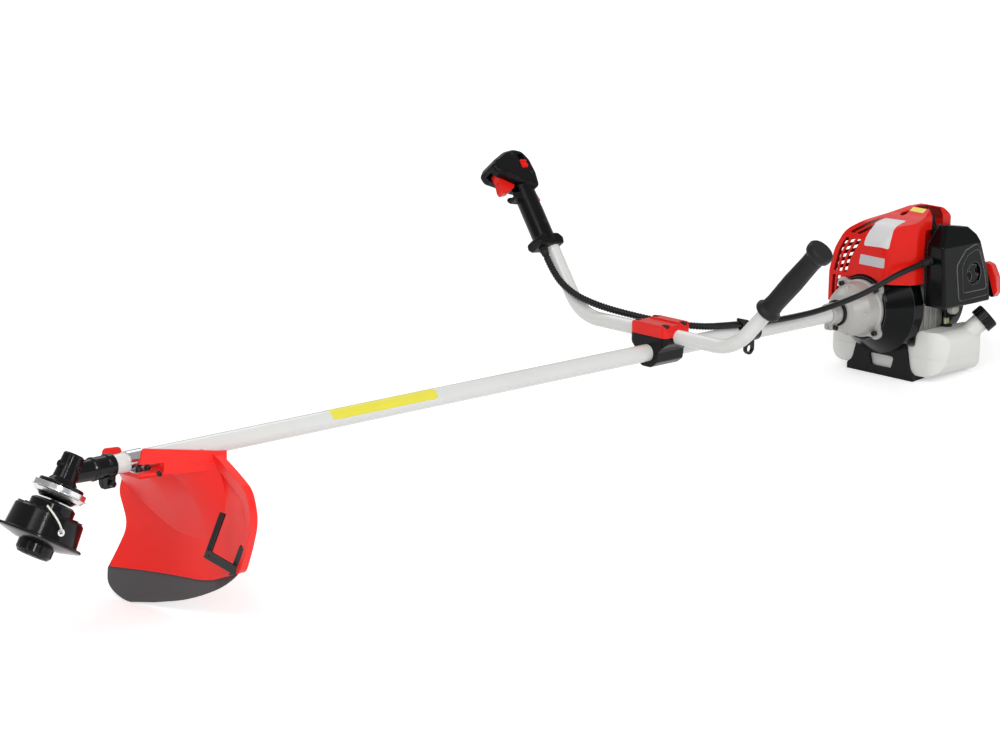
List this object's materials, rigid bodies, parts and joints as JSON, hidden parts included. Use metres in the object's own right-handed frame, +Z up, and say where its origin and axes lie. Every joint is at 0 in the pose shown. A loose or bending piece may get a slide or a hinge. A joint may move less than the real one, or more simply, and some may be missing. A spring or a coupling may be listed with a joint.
{
  "type": "string trimmer",
  "caption": "Petrol string trimmer with a bull handlebar: engine and tank at the rear, straight shaft, guard and bump-feed line head in front.",
  "frame": {"origin": "middle of the foot's underside, on the floor", "axes": "+X along the shaft towards the cutting head, +Y to the operator's left, +Z up; it stands on its foot and the guard's lower edge"},
  "size_m": [1.8597, 0.667, 0.4118],
  "materials": {
    "white_paint": "gloss white powder coat",
    "red_plastic": "satin red moulding",
    "red_gloss": "gloss red moulding",
    "black_plastic": "satin black moulding",
    "black_paint": "gloss black paint",
    "charcoal_plastic": "matte charcoal moulding",
    "cast_aluminium": "as cast",
    "steel": "machined",
    "zinc": "bright zinc plate",
    "rubber": "matte",
    "black_conduit": "satin",
    "bush_plastic": "matte",
    "line_plastic": "clear nylon line",
    "filter_felt": "foam",
    "tank_plastic": "milky translucent moulding",
    "clear_plastic": "clear soft moulding",
    "hose_plastic": "clear and yellow-green tube"
  },
  "bodies": {
    "machine": {"shaft_tube": "white_paint", "shaft_bushes": "bush_plastic", "gear_case": "black_paint", "guard": "red_gloss", "guard_extension": "charcoal_plastic", "line_cutter": "black_paint", "guard_bracket": "zinc", "left_bar": "white_paint", "right_bar": "white_paint", "handle_clamp_cap": "red_gloss", "handle_clamp_body": "black_plastic", "left_grip": "rubber", "handle_shell_left": "black_plastic", "handle_shell_right": "black_plastic", "throttle_cable": "black_conduit", "cable_clip": "black_plastic", "harness_hanger": "black_paint", "tube_collar": "cast_aluminium", "damper_ring": "rubber", "clutch_housing": "cast_aluminium", "fan_housing": "black_plastic", "crankcase": "cast_aluminium", "cylinder": "cast_aluminium", "muffler": "black_paint", "spark_plug": "zinc", "plug_boot": "rubber", "engine_cover": "red_gloss", "carburettor": "cast_aluminium", "air_cleaner_base": "black_plastic", "air_filter": "filter_felt", "air_cleaner_cover": "black_plastic", "fuel_tank": "tank_plastic", "tank_grommet": "rubber", "fuel_lines": "hose_plastic", "stand": "black_plastic", "starter_housing": "black_plastic", "cap_screws": "zinc"},
    "drive": {"drive_shaft": "steel", "clutch_drum": "steel", "bevel_pinion": "steel"},
    "crank": {"flywheel": "cast_aluminium", "clutch_shoes": "steel"},
    "head": {"bevel_gear": "steel", "output_spindle": "steel", "spindle_cup": "zinc", "head_housing": "black_plastic", "head_cover": "black_plastic", "line_eyelets": "zinc", "trimmer_line": "line_plastic", "bump_spring": "steel"},
    "bump": {"line_spool": "black_plastic", "bump_knob": "black_plastic"},
    "trigger": {"throttle_trigger": "red_plastic"},
    "lockout": {"lockout_lever": "red_plastic"},
    "switch": {"stop_switch": "red_plastic"},
    "pull_handle": {"starter_handle": "red_plastic"},
    "choke": {"choke_lever": "black_plastic"},
    "primer": {"primer_bulb": "clear_plastic"},
    "fuel_cap": {"tank_cap": "black_plastic"},
    "filter_knob": {"air_cleaner_knob": "black_plastic"}
  },
  "joints": [
    {"name": "head_spin", "type": "hinge", "parent": "machine", "child": "head", "pos_m": [1.64225, 0, 0.23861], "axis": [0.5634, 0, -0.8262], "continuous": true},
    {"name": "drive_spin", "type": "hinge", "parent": "machine", "child": "drive", "pos_m": [1.64225, 0, 0.23861], "axis": [0.9972, 0, 0.0748], "continuous": true},
    {"name": "crank_spin", "type": "hinge", "parent": "machine", "child": "crank", "pos_m": [0.08563, 0, 0.12179], "axis": [0.9972, 0, 0.0748], "continuous": true},
    {"name": "bump_press", "type": "slide", "parent": "head", "child": "bump", "axis": [-0.5634, 0, 0.8262], "range_m": [0, 0.006], "stiffness_N_per_m": 1500, "springref_m": -0.005},
    {"name": "trigger_pull", "type": "hinge", "parent": "machine", "child": "trigger", "pos_m": [0.54555, -0.33424, 0.38267], "axis": [-0.0484, 0.7629, 0.6447], "range_deg": [0, 20], "stiffness_Nm_per_rad": 0.6, "springref_deg": -20.05},
    {"name": "lockout_press", "type": "hinge", "parent": "machine", "child": "lockout", "pos_m": [0.50708, -0.30996, 0.35105], "axis": [0.0484, -0.7629, -0.6447], "range_deg": [0, 8], "stiffness_Nm_per_rad": 0.4, "springref_deg": -11.46},
    {"name": "stop_switch_slide", "type": "slide", "parent": "machine", "child": "switch", "axis": [-0.1631, -0.6428, 0.7485], "range_m": [0, 0.01]},
    {"name": "starter_pull", "type": "slide", "parent": "machine", "child": "pull_handle", "axis": [-0.3227, 0.8989, 0.2963], "range_m": [0, 0.6], "stiffness_N_per_m": 20, "springref_m": -0.4},
    {"name": "choke_turn", "type": "hinge", "parent": "machine", "child": "choke", "pos_m": [-0.06351, 0.078, 0.1848], "axis": [0, 1, 0], "range_deg": [0, 40]},
    {"name": "primer_press", "type": "slide", "parent": "machine", "child": "primer", "axis": [0, -1, 0], "range_m": [0, 0.003], "stiffness_N_per_m": 1500, "springref_m": -0.0015},
    {"name": "tank_cap_turn", "type": "hinge", "parent": "machine", "child": "fuel_cap", "pos_m": [-0.08051, 0.11876, 0.09038], "axis": [-0.6483, 0.4504, 0.6138], "range_deg": [0, 540]},
    {"name": "filter_knob_turn", "type": "hinge", "parent": "machine", "child": "filter_knob", "pos_m": [-0.05027, 0.119, 0.16875], "axis": [0, 1, 0], "range_deg": [0, 540]}
  ],
  "couplings": [
    {"joint": "drive_spin", "follows": "head_spin", "ratio": -1.4615}
  ]
}
